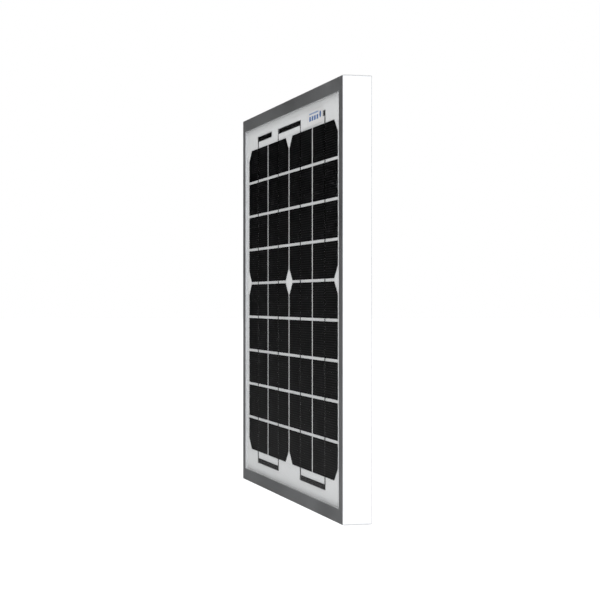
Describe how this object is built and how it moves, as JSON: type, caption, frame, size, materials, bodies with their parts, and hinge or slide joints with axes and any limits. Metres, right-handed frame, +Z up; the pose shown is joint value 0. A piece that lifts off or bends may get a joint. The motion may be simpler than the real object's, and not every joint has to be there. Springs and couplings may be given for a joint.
{
  "type": "solar panel",
  "caption": "Framed monocrystalline solar panel with narrow cut cells behind glass, an aluminium rail frame and a rear junction box with cable glands.",
  "frame": {"origin": "centre of the bottom edge, midway through the frame's depth", "axes": "-Y out of the glass, +Y to the back, +X to the right as seen from the front, +Z up along the cell columns"},
  "size_m": [0.365, 0.025, 0.37],
  "materials": {
    "frame_aluminium": "clear anodised, fine satin",
    "key_aluminium": "as cast",
    "sealant": "matt silicone",
    "clear_glass": "tempered, smooth front",
    "encapsulant": "clear",
    "backsheet": "matt white film",
    "solar_cell": "dark antireflective silicon with fine grid lines",
    "ribbon": "tinned copper",
    "bus_ribbon": "tinned copper",
    "insulation": "matt white film",
    "front_label": "white film with a plain blue mark",
    "rating_label": "silver film with plain rules",
    "adhesive_pad": "foam",
    "box_plastic": "fine moulded grain",
    "gasket": "matt",
    "steel_pin": "drawn",
    "terminal_plastic": "moulded",
    "terminal_brass": "tinned brass",
    "steel_screw": "zinc plated",
    "diode_body": "epoxy with a grey band",
    "gland_plastic": "moulded",
    "gland_rubber": "matt"
  },
  "bodies": {
    "root": {"frame_top": "frame_aluminium", "frame_bottom": "frame_aluminium", "frame_left": "frame_aluminium", "frame_right": "frame_aluminium", "corner_key_top_left": "key_aluminium", "corner_key_top_right": "key_aluminium", "corner_key_bottom_left": "key_aluminium", "corner_key_bottom_right": "key_aluminium", "edge_sealant": "sealant", "front_glass": "clear_glass", "front_encapsulant": "encapsulant", "rear_encapsulant": "encapsulant", "backsheet": "backsheet", "cell_string_1": "solar_cell", "cell_string_2": "solar_cell", "cell_string_3": "solar_cell", "cell_string_4": "solar_cell", "string_ribbons_1": "ribbon", "string_ribbons_2": "ribbon", "string_ribbons_3": "ribbon", "string_ribbons_4": "ribbon", "bus_ribbon_top_left": "bus_ribbon", "bus_ribbon_top_middle": "bus_ribbon", "bus_ribbon_top_right": "bus_ribbon", "bus_ribbon_bottom_left": "bus_ribbon", "bus_ribbon_bottom_right": "bus_ribbon", "lead_insulation_strip": "insulation", "output_lead_left": "bus_ribbon", "output_lead_right": "bus_ribbon", "front_label": "front_label", "rating_label": "rating_label", "jbox_adhesive_pad": "adhesive_pad", "jbox_base": "box_plastic", "jbox_lid_gasket": "gasket", "jbox_hinge_pin": "steel_pin", "terminal_block": "terminal_plastic", "terminal_plate_left": "terminal_brass", "terminal_plate_right": "terminal_brass", "bypass_diode": "diode_body", "gland_body_left": "gland_plastic", "gland_body_right": "gland_plastic", "gland_seal_left": "gland_rubber", "gland_seal_right": "gland_rubber", "gland_locknut_left": "gland_plastic", "gland_locknut_right": "gland_plastic"},
    "junction_box_lid": {"jbox_lid": "box_plastic"},
    "gland_nut_left": {"gland_nut_left": "gland_plastic"},
    "gland_nut_right": {"gland_nut_right": "gland_plastic"},
    "terminal_screw_left": {"terminal_screw_left": "steel_screw"},
    "terminal_screw_right": {"terminal_screw_right": "steel_screw"}
  },
  "joints": [
    {"name": "lid_hinge", "type": "hinge", "parent": "root", "child": "junction_box_lid", "pos_m": [-0.0488, 0.0085, 0.319], "axis": [0, 0, 1], "range_deg": [0, 110]},
    {"name": "gland_nut_left_turn", "type": "hinge", "parent": "root", "child": "gland_nut_left", "pos_m": [-0.02, 0.0017, 0.277], "axis": [0, 0, -1], "continuous": true},
    {"name": "gland_nut_right_turn", "type": "hinge", "parent": "root", "child": "gland_nut_right", "pos_m": [0.02, 0.0017, 0.277], "axis": [0, 0, -1], "continuous": true},
    {"name": "terminal_screw_left_turn", "type": "hinge", "parent": "root", "child": "terminal_screw_left", "pos_m": [-0.019, -0.0005, 0.326], "axis": [0, 1, 0], "continuous": true},
    {"name": "terminal_screw_right_turn", "type": "hinge", "parent": "root", "child": "terminal_screw_right", "pos_m": [0.019, -0.0005, 0.326], "axis": [0, 1, 0], "continuous": true}
  ]
}
